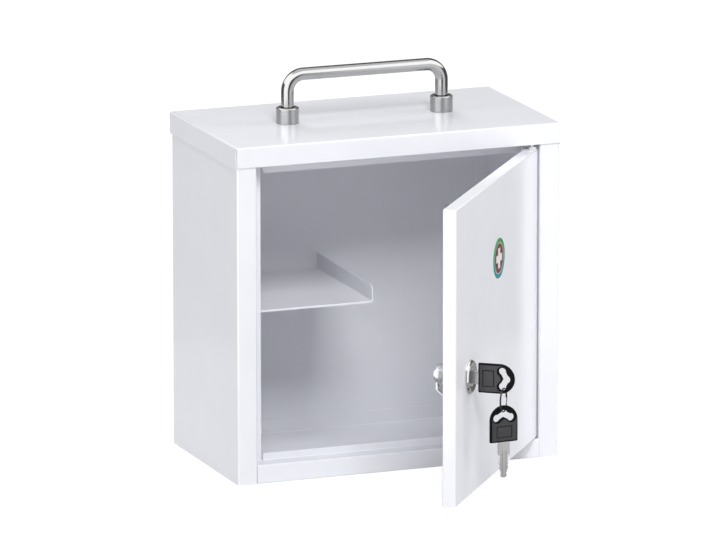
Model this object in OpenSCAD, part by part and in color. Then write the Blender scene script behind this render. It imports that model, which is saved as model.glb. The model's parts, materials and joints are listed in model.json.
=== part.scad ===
// Lockable medicine cabinet of folded sheet steel, with a carrying handle.
// Millimetres. X runs to the right, Y to the back and Z up. The origin is the centre of the
// underside. The door is drawn closed and then turned about its pivot to where it rests, ajar.

/* [Cabinet] */
// Width over the side panels
body_w = 270; // [230:1:400]
// Depth over the front frame and the back panel
body_d = 150; // [120:1:250]
// Height to the top of the cover, without the handle
body_h = 270; // [230:1:400]
// Thickness of the body's sheet steel
sheet_t = 0.8; // [0.6:0.1:1]
// Outer radius of the folds in the sheet
fold_r = 1.4; // [1.2:0.1:2]
// Width of the flanges that are welded to a neighbour
weld_flange = 12; // [8:0.5:16]

/* [Front frame] */
// Width of each front stile
stile_w = 16.2; // [13:0.1:24]
// Height of the bottom rail
rail_h = 15; // [12:0.5:24]
// Height from the opening to the top of the cover
head_h = 16.4; // [14.5:0.1:24]
// Depth from the frame's front to the stop lips
return_d = 15; // [14.5:0.1:18]
// Width of the stop lips at the sides
side_lip = 8.5; // [6:0.1:12]
// Height of the stop lip on the sill
sill_lip = 5.6; // [4:0.1:10]
// Height of the stop lip at the head
head_lip = 8.6; // [5:0.1:12]
// Open corner left between two stop lips
lip_relief = 1.7; // [0.5:0.1:3]

/* [Cover] */
// Gap between the cover's flanges and the body
cover_gap = 0.2; // [0.1:0.05:0.4]
// Height of the cover's side and back flanges
cover_side_h = 17.5; // [12:0.1:24]
// Height of the cover's front flange
cover_front_h = 16.2; // [12:0.1:16.2]
// Width of the open seam at each corner of the cover
cover_seam = 0.6; // [0.4:0.1:1.5]
// Side of the notch in each side panel behind a front seam
seam_notch = 3; // [2:0.1:5]

/* [Door] */
// Gap beside the door
door_gap = 1.4; // [1.2:0.1:2]
// Gap under the door
door_gap_low = 1; // [0.8:0.1:3]
// Gap over the door
door_gap_high = 3.9; // [2:0.1:6]
// Thickness of the folded door
door_t = 10.8; // [9:0.1:11.5]
// Thickness of the door's sheet steel
door_sheet = 0.8; // [0.6:0.1:1]
// Outer radius of the door's folds
door_fold_r = 1.2; // [1.1:0.1:1.6]
// Width of the return lips behind the door's edges
door_lip = 9; // [7.5:0.1:14]
// How far the closed door's face stands before the frame
door_proud = 0.9; // [0:0.1:1]
// How far the door stands open at rest
door_ajar = 52.4; // [10:0.1:100]

/* [Hinge pivots] */
// Distance from the opening's right edge to the pivots' axis
pivot_in = 5.6; // [5.4:0.1:7]
// Distance from the door's face back to the pivots' axis
pivot_back = 3.75; // [3.5:0.05:4.2]
// Radius of a pivot pin
pin_r = 1.6; // [1.2:0.05:1.7]
// Running clearance round a pivot pin
pin_fit = 0.05; // [0.02:0.01:0.1]
// Radius of a pivot pin's head, inside the door
pin_head_r = 2.4; // [2:0.1:2.6]
// Thickness of a pivot pin's head
pin_head_t = 1.2; // [0.8:0.1:2]
// Reach of a pivot pin beyond the frame's sheet
pin_reach = 1.2; // [0.5:0.1:2]
// Radius of the washers on the pivots
pivot_washer_r = 3.2; // [2.2:0.1:3.5]
// Thickness of the washer over the door
top_washer_t = 1.6; // [0.8:0.1:1.8]
// Gap between a washer and the door
washer_gap = 0.1; // [0.05:0.05:0.3]

/* [Bumpers] */
// Radius of a door bumper
bumper_r = 3; // [2:0.1:3.4]
// Gap between a bumper and the stop lip when the door is shut
bumper_gap = 0.3; // [0.1:0.1:0.6]
// Distance from the door's free edge to the bumpers' centres
bumper_inset = 26; // [18:1:60]

/* [Badge] */
// Radius of the badge
badge_r = 16; // [10:0.5:20]
// Thickness of the badge
badge_t = 0.8; // [0.5:0.1:1.5]
// Bevel of the badge's rim
badge_bevel = 0.4; // [0.2:0.1:0.4]
// Distance from the door's free edge to the badge's centre
badge_inset = 120.5; // [60:0.5:160]
// Height of the badge's centre over the underside
badge_z = 186; // [170:1:210]

/* [Shelf] */
// Height of the shelf's top over the underside
shelf_z = 133; // [125:1:170]
// Width of the shelf, from the left side panel to its free end
shelf_w = 122.2; // [80:0.1:160]
// Distance from the frame's front to the shelf's front edge
shelf_back = 25.5; // [25:0.5:60]
// Height of the upright lip at the shelf's free end
shelf_lip = 12.5; // [6:0.5:20]
// Radius of that lip's front corner
shelf_corner_r = 6.5; // [2:0.5:6.5]
// Depth of the hem under the shelf's front edge
shelf_hem = 8; // [5:0.5:14]

/* [Handle] */
// Distance between the centres of the handle's legs
handle_span = 130; // [90:1:150]
// Height of the handle over the cover
handle_rise = 43.5; // [36:0.5:60]
// Radius of the handle's rod
rod_r = 5; // [4:0.1:6]
// Radius of the rod's bends, to its centre line
rod_bend = 13; // [10:0.5:18]
// Outer radius of a ferrule
ferrule_r = 9; // [8.2:0.1:11]
// Height of a ferrule
ferrule_h = 13; // [8:0.5:18]
// Depth of the recess in a ferrule's top
ferrule_recess = 2; // [1:0.1:4]
// Wall left round that recess
ferrule_rim = 2.2; // [1:0.1:2.2]
// Clearance between a ferrule and the rod
ferrule_fit = 0.05; // [0.02:0.01:0.1]
// Radius of the screws into the handle
screw_r = 2.5; // [2:0.05:3]
// Radius of a handle screw's head
screw_head_r = 4.6; // [4:0.1:6]
// Height of a handle screw's head
screw_head_h = 3.2; // [2:0.1:4]
// Reach of a handle screw into the rod
screw_reach = 14; // [8:0.5:20]
// Radius of the washers under the handle screws' heads
screw_washer_r = 7; // [6:0.1:9]
// Thickness of those washers
screw_washer_t = 1.2; // [0.8:0.1:2]
// Clearance of a screw in its holes
screw_fit = 0.25; // [0.1:0.05:0.5]

/* [Lock] */
// Distance from the door's free edge to the lock's axis
lock_inset = 39.5; // [30:0.5:45]
// Height of the lock's axis over the underside
lock_z = 110.1; // [90:0.1:118]
// Radius of the lock's face
lock_face_r = 13.5; // [11:0.1:15]
// How far the lock's face stands before the door
lock_face_h = 2.4; // [1.6:0.1:3]
// Radius of the lock's barrel
barrel_r = 9; // [8.5:0.1:9.5]
// Length of the lock's barrel behind the door's face
barrel_len = 24; // [23:0.1:26]
// Radius of the lock's plug
plug_r = 6.5; // [6.1:0.1:6.8]
// Running clearance round the plug
plug_fit = 0.05; // [0.02:0.01:0.1]
// Width across the flats of the lock's nut
nut_flats = 23; // [21:0.5:25]
// Thickness of the lock's nut
nut_t = 4; // [3:0.1:6]
// Thickness of the cam
cam_t = 1.6; // [1.2:0.1:2.5]
// Reach of the cam from the lock's axis
cam_reach = 36; // [34:0.5:37]
// Width of the cam
cam_w = 13; // [10:0.5:15]
// Gap between the cam and the back of the stop lip
cam_gap = 0.4; // [0.3:0.1:1]
// Side of the square that turns the cam
cam_square = 7; // [6:0.1:8]
// Radius of the cam screw
cam_screw_r = 2; // [1.5:0.1:2.2]
// Radius of the cam screw's head
cam_head_r = 4.8; // [4:0.1:6]
// Height of the cam screw's head
cam_head_h = 2.2; // [1.5:0.1:3]

/* [Keys] */
// Length of a key's bow
bow_len = 28.9; // [27:0.1:34]
// Width of a key's bow
bow_w = 23.3; // [22:0.1:26]
// Thickness of a bow round its finger hole
bow_core_t = 2.4; // [2.2:0.1:3]
// Thickness of a bow's grip
bow_t = 3.8; // [3.4:0.1:5]
// Set-in of the grip's raised faces from the bow's edge
bow_step = 1.3; // [0.8:0.1:2.5]
// Thickness of a key's metal
key_t = 2; // [1.6:0.1:2.2]
// Width of a key's shoulder
shoulder_w = 10.2; // [9:0.1:11]
// Length of a key's shoulder
shoulder_len = 10.2; // [7:0.1:12]
// Width of a key's blade
blade_w = 6.2; // [5:0.1:6.8]
// Length of a key's blade beyond its shoulder
blade_len = 17.8; // [14:0.1:17.8]
// Distance from the door's face to the bow of the key in the lock
key_stand = 6.8; // [4:0.1:9]
// Clearance of a key in the lock
key_fit = 0.15; // [0.1:0.01:0.2]

/* [Key ring] */
// Radius of the ring, to the middle of its wire
ring_r = 9.2; // [8.8:0.1:11]
// Radius of the ring's wire
wire_r = 0.65; // [0.5:0.05:0.8]
// Gap between the wire and the bow that it hangs on
ring_gap = 0.3; // [0.2:0.05:0.5]
// Gap between the wire and the spare key's bow, which hangs aslant on it
spare_gap = 0.9; // [0.8:0.05:1.1]
// How far the spare key is turned about its own length
spare_turn = 41; // [0:1:45]

/* [Hidden] */
$fn = 48;

// A length that takes a cut clear through a face
past = 1;

// Cabinet
half_w = body_w / 2;
front_y = -body_d / 2;
back_y = body_d / 2;
mid_t = sheet_t / 2;
inner_r = fold_r - sheet_t;                // inner radius of the folds
cover_low = body_h - sheet_t;              // underside of the cover's top
wall_top = cover_low - inner_r;            // top of the panels, clear of the cover's folds
opening_x = half_w - stile_w;              // half width of the door opening
opening_top = body_h - head_h;
lip_y = front_y + return_d;                // front of the stop lips
lip_back_y = lip_y + sheet_t;
side_lip_x = opening_x - side_lip;         // free edge of a side's stop lip
end_x = side_lip_x - lip_relief;           // where the sill's and the head's lips stop
side_in = half_w - sheet_t;                // inner face of a side panel
flange_y = back_y - sheet_t;               // back of the flanges under the back panel
cover_out = cover_gap + sheet_t;           // how far the cover stands out from the body

// Door, drawn closed
door_x0 = -opening_x + door_gap;
door_x1 = opening_x - door_gap;
door_z0 = rail_h + door_gap_low;
door_z1 = opening_top - door_gap_high;
door_y0 = front_y - door_proud;
door_y1 = door_y0 + door_t;
pivot_x = opening_x - pivot_in;
pivot_y = door_y0 + pivot_back;

// Lock
lock_x = door_x0 + lock_inset;
bore_r = plug_r + plug_fit;
head_r = plug_r + 1;                       // head of the plug
head_seat = 1.2;                           // depth of the seat under the plug's head
dish_low = 1.2;                            // height of the dish's floor over the door
dish_r = 10.6;                             // radius of the dish's rim
dish_foot_r = 7.6;                         // radius of the dish's floor
face_bevel = 1.4;                          // bevel of the face's rim
barrel_gap = 0.1;                          // clearance of the barrel in the door
plug_end = barrel_len + plug_fit;
cam_back = plug_end + cam_t;
cam_tip = lip_back_y - door_y0 + cam_gap;  // depth of the cam's working end
cam_hub_r = cam_square / 2 + 4.5;
cam_bend = barrel_r + 1.5;                 // where the cam starts to crank forwards
cam_slope = 6;                             // length of the cranked stretch
cam_square_fit = 0.05;
screw_bore_r = cam_screw_r + 0.05;
slot_end = shoulder_len + blade_len - key_stand + 0.5;  // depth of the keyway
shoulder_depth = shoulder_len - key_stand + 0.3;        // depth of the shoulder's slot
cam_screw_end = slot_end + 0.6;

// Keys
bow_r = bow_w / 2;
bow_round_x = bow_len - bow_r;             // centre of the bow's round end
blade_bulge = 1.2;                         // how much wider the blade is at its bulge
lobe_r = 2.9;                              // radius of the finger hole's two side lobes
lobe_x = 19.2;
lobe_z = 6;
tip_lobe_r = 3;                            // radius of the lobe nearest the round end
tip_lobe_x = 22.4;
hole_ease = 1;                             // how much the grip stays back from the hole
tang_len = 8;                              // metal held inside the bow
tang_w = 8;
recess_depth = 0.4;
bulge_at = 6.5;                            // where the blade's bulge starts
bulge_ramp = 1.5;
bulge_len = 4;
neck_len = 2;                              // taper from the bulge to the tip
tip_in = 0.6;                              // how much narrower each side of the tip is
tip_chamfer = 1.2;
ring_x = lobe_x + 0.8;                     // where the ring lies along the bow
key_end_y = door_y0 - key_stand;           // inner end of the bow of the key in the lock

// Bar of the bow that the ring hangs on, and the ring's place
bar_top = -lobe_z - sqrt(pow(lobe_r, 2) - pow(ring_x - lobe_x, 2));
bar_low = -sqrt(pow(bow_r, 2) - pow(ring_x - bow_round_x, 2));
ring_inner_r = ring_r - wire_r;
bar_z = lock_z + (bar_top + bar_low) / 2;
bar_reach = norm([bow_core_t, bar_top - bar_low]) / 2;
ring_drop = ring_inner_r - ring_gap - bar_reach;   // from the bar down to the ring's centre
ring_z = bar_z - ring_drop;
ring_y = key_end_y - ring_x;
// The spare key hangs on the ring by the stretch of its bow beyond the tip lobe
spare_bar = tip_lobe_x + tip_lobe_r;
spare_z = ring_z - ring_inner_r + spare_gap - spare_bar;

function unit(v) = v / norm(v);
function left_of(v) = [-v[1], v[0]];

// A sheet's section along points in its middle plane, folded at right angles
module folded(path, t = sheet_t, r = fold_r) {
    mid_r = r - t / 2;
    last = len(path) - 1;
    for (i = [0 : last - 1]) {
        run = unit(path[i + 1] - path[i]);
        side = left_of(run) * t / 2;
        start = path[i] + (i > 0 ? run * mid_r : [0, 0]);
        end = path[i + 1] - (i + 1 < last ? run * mid_r : [0, 0]);
        polygon([start + side, start - side, end - side, end + side]);
    }
    for (i = [1 : last - 1]) {
        before = unit(path[i] - path[i - 1]);
        after = unit(path[i + 1] - path[i]);
        centre = path[i] - before * mid_r + after * mid_r;
        intersection() {
            translate(centre) difference() {
                circle(r);
                circle(r - t);
            }
            polygon([centre, centre - after * r, centre - after * r + before * r,
                     centre + before * r]);
        }
    }
}

// A section in Y and Z, drawn out along X
module across(x0, x1) {
    translate([x0, 0, 0]) rotate([90, 0, 90]) linear_extrude(x1 - x0) children();
}

// A section in X and Z, drawn out along Y
module fore_aft(y0, y1) {
    translate([0, y1, 0]) rotate([90, 0, 0]) linear_extrude(y1 - y0) children();
}

module box(low, high) {
    translate(low) cube(high - low);
}

module round_rect(low, high, r) {
    translate(low + [r, 0]) square([high[0] - low[0] - 2 * r, high[1] - low[1]]);
    translate(low + [0, r]) square([high[0] - low[0], high[1] - low[1] - 2 * r]);
    for (x = [low[0] + r, high[0] - r], y = [low[1] + r, high[1] - r]) translate([x, y]) circle(r);
}

module on_door() {
    translate([pivot_x, pivot_y, 0]) rotate([0, 0, door_ajar])
        translate([-pivot_x, -pivot_y, 0]) children();
}

// Along the lock's axis: Z runs into the cabinet from the door's face
module on_lock() {
    on_door() translate([lock_x, door_y0, lock_z]) rotate([-90, 0, 0]) children();
}

// One side panel: stop lip, return, stile, side and back flange from one sheet
module left_panel() {
    seam_low = body_h - cover_front_h;
    difference() {
        linear_extrude(wall_top)
            folded([[-side_lip_x, lip_y + mid_t], [-opening_x - mid_t, lip_y + mid_t],
                    [-opening_x - mid_t, front_y + mid_t], [-half_w + mid_t, front_y + mid_t],
                    [-half_w + mid_t, flange_y - mid_t],
                    [-half_w + weld_flange, flange_y - mid_t]]);
        box([-opening_x, lip_y - past, -past], [0, lip_back_y + past, rail_h]);
        box([-opening_x, lip_y - past, opening_top], [0, lip_back_y + past, body_h]);
        box([-half_w - past, front_y - past, seam_low],
            [-half_w + seam_notch, front_y + seam_notch, body_h]);
    }
}

module left_side() {
    color("white") left_panel();
}

module right_side() {
    color("white") mirror([1, 0, 0]) left_panel();
}

module back_panel() {
    color("white") box([fold_r / 2 - half_w, flange_y, 0], [half_w - fold_r / 2, back_y, wall_top]);
}

// Path of the bottom rail from the sill's middle plane down and back to the floor's end
function base_path(end_y) =
    [[front_y + mid_t, rail_h - mid_t], [front_y + mid_t, mid_t], [end_y, mid_t]];

module base_tray() {
    seam = 0.2;
    floor_end = flange_y - fold_r;
    flange_top = weld_flange;
    color("white") difference() {
        union() {
            across(-end_x, end_x)
                folded(concat([[lip_y + mid_t, rail_h + sill_lip], [lip_y + mid_t, rail_h - mid_t]],
                              base_path(flange_y - mid_t), [[flange_y - mid_t, flange_top]]));
            for (side = [0, 1]) mirror([side, 0, 0]) {
                across(end_x, opening_x)
                    folded(concat([[lip_back_y, rail_h - mid_t]], base_path(floor_end)));
                fore_aft(lip_back_y + seam, floor_end)
                    folded([[opening_x, mid_t], [side_in - mid_t, mid_t],
                            [side_in - mid_t, flange_top]]);
                // A tongue that closes the stile underneath
                fore_aft(front_y + fold_r, lip_back_y + past)
                    folded([[opening_x + sheet_t + seam, mid_t], [side_in - mid_t, mid_t],
                            [side_in - mid_t, flange_top]]);
            }
        }
        pivot_hole(rail_h);
    }
}

module top_rail() {
    web = [[front_y + mid_t, opening_top + mid_t], [front_y + mid_t, cover_low - mid_t],
           [front_y + weld_flange, cover_low - mid_t]];
    color("white") difference() {
        union() {
            across(-end_x, end_x)
                folded(concat([[lip_y + mid_t, opening_top - head_lip],
                               [lip_y + mid_t, opening_top + mid_t]], web));
            for (side = [0, 1]) mirror([side, 0, 0])
                across(end_x, opening_x)
                    folded(concat([[lip_back_y, opening_top + mid_t]], web));
        }
        pivot_hole(opening_top);
    }
}

module pivot_hole(z) {
    translate([pivot_x, pivot_y, z - 2 * sheet_t])
        cylinder(r = pin_r + pin_fit, h = 4 * sheet_t);
}

// A box with folds of radius r along its top, bottom and upright edges
module cover_shape(out, top, r) {
    low = -body_h;
    intersection() {
        across(-half_w - out, half_w + out)
            round_rect([front_y - out, low], [back_y + out, top], r);
        fore_aft(front_y - out, back_y + out)
            round_rect([-half_w - out, low], [half_w + out, top], r);
    }
}

module top_cover() {
    side_low = body_h - cover_side_h;
    front_low = body_h - cover_front_h;
    seam_top = body_h - fold_r;
    color("white") difference() {
        intersection() {
            cover_shape(cover_out, body_h, fold_r);
            box([-body_w, -body_d, side_low], [body_w, body_d, body_h + past]);
        }
        cover_shape(cover_gap, cover_low, fold_r - sheet_t);
        // The front flange ends a little above the side flanges
        box([-half_w, front_y - 2 * cover_out, side_low - past],
            [half_w, front_y, front_low]);
        // Each corner is open between the front or back flange and the side flange
        for (side = [0, 1]) mirror([side, 0, 0]) {
            box([-half_w - 2 * cover_out, front_y - 2 * cover_out, side_low - past],
                [-half_w - cover_gap, front_y - cover_gap + cover_seam, seam_top]);
            box([-half_w - 2 * cover_out, back_y + cover_gap - cover_seam, side_low - past],
                [-half_w - cover_gap, back_y + cover_gap, seam_top]);
        }
        for (x = [-handle_span / 2, handle_span / 2])
            translate([x, 0, cover_low - past]) cylinder(r = screw_r + screw_fit, h = 2 * past + sheet_t);
    }
}

module shelf() {
    shelf_y = front_y + shelf_back;
    deck = shelf_z - mid_t;
    free_x = -half_w + sheet_t + shelf_w;
    foot = shelf_z - weld_flange;
    lip_top = shelf_z + shelf_lip;
    corner_y = shelf_y + shelf_corner_r;
    color("white") difference() {
        union() {
            fore_aft(shelf_y, flange_y - fold_r)
                folded([[-side_in + mid_t, foot], [-side_in + mid_t, deck],
                        [free_x - mid_t, deck], [free_x - mid_t, lip_top]]);
            across(-half_w + weld_flange + past, free_x - fold_r)
                folded([[flange_y - fold_r - past, deck], [flange_y - mid_t, deck],
                        [flange_y - mid_t, foot]]);
            // Hem folded back under the front edge
            box([-side_in + fold_r, shelf_y, shelf_z - 2 * sheet_t],
                [free_x - fold_r, shelf_y + shelf_hem, shelf_z - sheet_t]);
        }
        // Rounded front corner of the upright lip
        difference() {
            box([free_x - sheet_t - past, shelf_y - past, lip_top - shelf_corner_r],
                [free_x + past, corner_y, lip_top + past]);
            translate([free_x - sheet_t - 2 * past, corner_y, lip_top - shelf_corner_r])
                rotate([0, 90, 0]) cylinder(r = shelf_corner_r, h = sheet_t + 4 * past);
        }
    }
}

module handle() {
    leg_top = body_h + handle_rise - rod_r - rod_bend;
    run = handle_span - 2 * rod_bend;
    color("silver") difference() {
        union() {
            for (side = [0, 1]) mirror([side, 0, 0]) {
                translate([-handle_span / 2, 0, body_h]) cylinder(r = rod_r, h = leg_top - body_h);
                translate([-run / 2, 0, leg_top]) rotate([90, 0, 0]) rotate([0, 0, 90])
                    rotate_extrude(angle = 90) translate([rod_bend, 0]) circle(rod_r);
            }
            translate([-run / 2, 0, leg_top + rod_bend]) rotate([0, 90, 0])
                cylinder(r = rod_r, h = run);
        }
        for (x = [-handle_span / 2, handle_span / 2])
            translate([x, 0, body_h - past]) cylinder(r = screw_r, h = screw_reach + past + 1);
    }
}

module handle_ferrules() {
    chamfer = 0.8;
    color("silver") for (x = [-handle_span / 2, handle_span / 2]) translate([x, 0, body_h])
        rotate_extrude() polygon([
            [rod_r + ferrule_fit, 0], [ferrule_r, 0], [ferrule_r, ferrule_h - chamfer],
            [ferrule_r - chamfer, ferrule_h], [ferrule_r - ferrule_rim, ferrule_h],
            [ferrule_r - ferrule_rim, ferrule_h - ferrule_recess],
            [rod_r + ferrule_fit, ferrule_h - ferrule_recess]]);
}

module handle_washers() {
    color("silver") for (x = [-handle_span / 2, handle_span / 2])
        translate([x, 0, cover_low - screw_washer_t]) difference() {
            cylinder(r = screw_washer_r, h = screw_washer_t);
            translate([0, 0, -past]) cylinder(r = screw_r + screw_fit, h = screw_washer_t + 2 * past);
        }
}

module handle_screws() {
    head_top = cover_low - screw_washer_t;
    slot_w = 1.2;
    slot_deep = 1.4;
    shank_r = screw_r - 0.05;
    color("gray") for (x = [-handle_span / 2, handle_span / 2]) translate([x, 0, 0]) difference() {
        union() {
            translate([0, 0, head_top - screw_head_h]) cylinder(r = screw_head_r, h = screw_head_h);
            translate([0, 0, head_top]) cylinder(r = shank_r, h = body_h + screw_reach - head_top);
        }
        for (turn = [0, 90]) translate([0, 0, head_top - screw_head_h]) rotate([0, 0, turn])
            cube([2 * screw_head_r * 0.7, slot_w, 2 * slot_deep], center = true);
    }
}

// A pin headed inside the door's edge, turning in the frame's sheet
module pivot_pin(frame_z, door_z, up) {
    tip = frame_z - up * (sheet_t + pin_reach);
    seat = door_z + up * door_sheet;
    head = seat + up * pin_head_t;
    translate([pivot_x, pivot_y, min(tip, seat)]) cylinder(r = pin_r, h = abs(seat - tip));
    translate([pivot_x, pivot_y, min(seat, head)]) cylinder(r = pin_head_r, h = pin_head_t);
}

module pivot_pins() {
    color("silver") {
        pivot_pin(rail_h, door_z0, 1);
        pivot_pin(opening_top, door_z1, -1);
    }
}

module pivot_washers() {
    top_seat = door_z1 + washer_gap;
    color("ivory") for (span = [[rail_h, door_z0 - washer_gap], [top_seat, top_seat + top_washer_t]])
        translate([pivot_x, pivot_y, span[0]]) difference() {
            cylinder(r = pivot_washer_r, h = span[1] - span[0]);
            translate([0, 0, -past])
                cylinder(r = pin_r + pin_fit, h = span[1] - span[0] + 2 * past);
        }
}

// The door's block, set in by t on every side
module door_block(t) {
    r = door_fold_r - t;
    intersection() {
        translate([0, 0, door_z0 + t]) linear_extrude(door_z1 - door_z0 - 2 * t)
            round_rect([door_x0 + t, door_y0 + t], [door_x1 - t, door_y1 - t], r);
        across(door_x0 + t, door_x1 - t)
            round_rect([door_y0 + t, door_z0 + t], [door_y1 - t, door_z1 - t], r);
    }
}

module door_panel() {
    color("white") on_door() difference() {
        door_block(0);
        door_block(door_sheet);
        box([door_x0 + door_lip, door_y1 - 2 * door_sheet, door_z0 + door_lip],
            [door_x1 - door_lip, door_y1 + past, door_z1 - door_lip]);
        translate([lock_x, door_y0 - past, lock_z]) rotate([-90, 0, 0])
            cylinder(r = barrel_r + barrel_gap, h = 2 * past + door_sheet);
        for (z = [door_z0, door_z1]) translate([pivot_x, pivot_y, z - 2 * door_sheet])
            cylinder(r = pin_r + pin_fit, h = 4 * door_sheet);
    }
}

module door_bumpers() {
    color("dimgray") on_door() for (z = [door_z0 + door_lip / 2, door_z1 - door_lip / 2])
        translate([door_x0 + bumper_inset, door_y1, z]) rotate([-90, 0, 0])
            cylinder(r = bumper_r, h = lip_y - bumper_gap - door_y1);
}

module badge() {
    color("seagreen") on_door() translate([door_x0 + badge_inset, door_y0, badge_z])
        rotate([90, 0, 0]) rotate_extrude()
            polygon([[0, 0], [badge_r, 0], [badge_r, badge_t - badge_bevel],
                     [badge_r - badge_bevel, badge_t], [0, badge_t]]);
}

module lock_housing() {
    color("silver") on_lock() rotate_extrude()
        polygon([[bore_r, barrel_len], [barrel_r, barrel_len], [barrel_r, 0], [lock_face_r, 0],
                 [lock_face_r, face_bevel - lock_face_h], [lock_face_r - face_bevel, -lock_face_h],
                 [dish_r, -lock_face_h], [dish_foot_r, -dish_low], [dish_foot_r, head_seat],
                 [bore_r, head_seat]]);
}

module lock_nut() {
    color("silver") on_lock() translate([0, 0, door_sheet]) difference() {
        cylinder(r = nut_flats / 2 / cos(30), h = nut_t, $fn = 6);
        translate([0, 0, -past]) cylinder(r = barrel_r + 0.05, h = nut_t + 2 * past);
    }
}

// A slot along the lock's axis, across which the key's metal stands upright
module keyway(width, depth) {
    box([-key_t / 2 - key_fit, -width / 2 - key_fit, -lock_face_h],
        [key_t / 2 + key_fit, width / 2 + key_fit, depth]);
}

module lock_plug() {
    color("silver") on_lock() difference() {
        union() {
            rotate_extrude() polygon([[0, -dish_low], [head_r, -dish_low], [head_r, head_seat],
                                      [plug_r, head_seat], [plug_r, plug_end], [0, plug_end]]);
            box([-cam_square / 2, -cam_square / 2, plug_end],
                [cam_square / 2, cam_square / 2, cam_back - 0.1]);
        }
        keyway(shoulder_w, shoulder_depth);
        keyway(blade_w + blade_bulge, slot_end);
        translate([0, 0, cam_screw_end]) cylinder(r = screw_bore_r, h = cam_back);
    }
}

// The cam hangs from the plug's square and cranks forwards to reach behind the stop lip
module lock_cam() {
    half = cam_w / 2;
    color("silver") on_lock() difference() {
        intersection() {
            rotate([0, 90, 0]) rotate([0, 0, 90]) translate([0, 0, -cam_hub_r])
                linear_extrude(2 * cam_hub_r) polygon([
                    [-cam_hub_r, plug_end], [cam_bend, plug_end],
                    [cam_bend + cam_slope, cam_tip], [cam_reach, cam_tip],
                    [cam_reach, cam_tip + cam_t], [cam_bend + cam_slope, cam_tip + cam_t],
                    [cam_bend, cam_back], [-cam_hub_r, cam_back]]);
            linear_extrude(barrel_len + 2 * cam_t) {
                circle(cam_hub_r);
                translate([-half, 0]) square([cam_w, cam_reach - half]);
                translate([0, cam_reach - half]) circle(half);
            }
        }
        box([-cam_square / 2 - cam_square_fit, -cam_square / 2 - cam_square_fit, plug_end - past],
            [cam_square / 2 + cam_square_fit, cam_square / 2 + cam_square_fit, cam_back + past]);
    }
}

module cam_screw() {
    slot_w = 1;
    color("gray") on_lock() difference() {
        union() {
            translate([0, 0, cam_screw_end + 0.2])
                cylinder(r = cam_screw_r, h = cam_back - cam_screw_end - 0.2);
            translate([0, 0, cam_back]) cylinder(r = cam_head_r, h = cam_head_h);
        }
        for (turn = [0, 90]) translate([0, 0, cam_back + cam_head_h]) rotate([0, 0, turn])
            cube([cam_head_r * 1.3, slot_w, cam_head_h], center = true);
    }
}

// Keys are drawn flat: X runs along the bow from its straight end, and Y across it
module bow_outline(inset) {
    translate([inset, inset - bow_r]) square([bow_round_x - inset, bow_w - 2 * inset]);
    translate([bow_round_x, 0]) circle(bow_r - inset);
}

module finger_hole(ease) {
    link_w = 1.6 * lobe_r + 2 * ease;
    translate([tip_lobe_x, 0]) circle(tip_lobe_r + ease);
    for (side = [-1, 1]) {
        step = [lobe_x - tip_lobe_x, side * lobe_z];
        translate([lobe_x, side * lobe_z]) circle(lobe_r + ease);
        translate([tip_lobe_x, 0]) rotate([0, 0, atan2(step[1], step[0])])
            translate([0, -link_w / 2]) square([norm(step), link_w]);
    }
}

module bow() {
    recess = [3.6, 9.2, 13];
    tang_gap = 0.05;
    color("#222222") difference() {
        union() {
            translate([0, 0, -bow_core_t / 2]) linear_extrude(bow_core_t) difference() {
                bow_outline(0);
                finger_hole(0);
            }
            // The grip stops short of the rim that the ring runs on
            translate([0, 0, -bow_t / 2]) linear_extrude(bow_t) difference() {
                bow_outline(bow_step);
                finger_hole(hole_ease);
                translate([ring_x - wire_r - ring_gap, -bow_w]) square([bow_len, 2 * bow_w]);
            }
        }
        for (face = [-1, 1])
            box([recess[0], -recess[2] / 2, face > 0 ? bow_t / 2 - recess_depth : -bow_t],
                [recess[0] + recess[1], recess[2] / 2, face > 0 ? bow_t : recess_depth - bow_t / 2]);
        box([-past, -tang_w / 2 - tang_gap, -key_t / 2 - tang_gap],
            [tang_len + tang_gap, tang_w / 2 + tang_gap, key_t / 2 + tang_gap]);
    }
}

// A blade's outline from its shoulder to its tip, on the side that Y runs to
function blade_edge() =
    let (wide = (blade_w + blade_bulge) / 2, tip_w = blade_w / 2 - tip_in, end = blade_len)
    [[0, blade_w / 2], [bulge_at - bulge_ramp, blade_w / 2], [bulge_at, wide],
     [bulge_at + bulge_len, wide], [bulge_at + bulge_len + neck_len, tip_w],
     [end - tip_chamfer, tip_w], [end, tip_w - tip_chamfer]];

module key_metal() {
    groove = 0.45;
    groove_w = 0.9;
    groove_at = 1.5;
    groove_run = 3;
    cut_r = 1;
    // Place of each bitting cut along the blade, and its distance from the blade's edge
    cuts = [[3.2, 0.9], [8.4, 1.1], [14.6, -0.1]];
    edge = blade_edge();
    color("silver") difference() {
        translate([0, 0, -key_t / 2]) linear_extrude(key_t) difference() {
            union() {
                translate([0, -tang_w / 2]) square([tang_len, tang_w]);
                translate([-shoulder_len, -shoulder_w / 2]) square([shoulder_len, shoulder_w]);
                translate([-shoulder_len, 0])
                    polygon(concat([for (p = edge) [-p[0], p[1]]],
                                   [for (i = [len(edge) - 1 : -1 : 0]) -edge[i]]));
            }
            for (side = [-1, 1], cut = cuts)
                translate([-shoulder_len - cut[0], side * (blade_w / 2 + cut[1])]) circle(cut_r);
        }
        for (face = [-1, 1], side = [-1, 1])
            box([-shoulder_len - blade_len - past, side * groove_at - groove_w / 2,
                 face > 0 ? key_t / 2 - groove : -key_t],
                [groove_run - shoulder_len, side * groove_at + groove_w / 2,
                 face > 0 ? key_t : groove - key_t / 2]);
    }
}

// Key in the lock: its bow stands out from the door with its flat faces upright
module in_lock() {
    on_door() translate([lock_x, key_end_y, lock_z]) rotate([0, 0, -90]) rotate([90, 0, 0])
        children();
}

// Spare key: hangs from the ring with its bow upwards
module on_ring() {
    on_door() translate([lock_x, ring_y, spare_z]) rotate([0, 0, spare_turn]) rotate([0, -90, 0])
        children();
}

module key_blade() {
    in_lock() key_metal();
}

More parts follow.
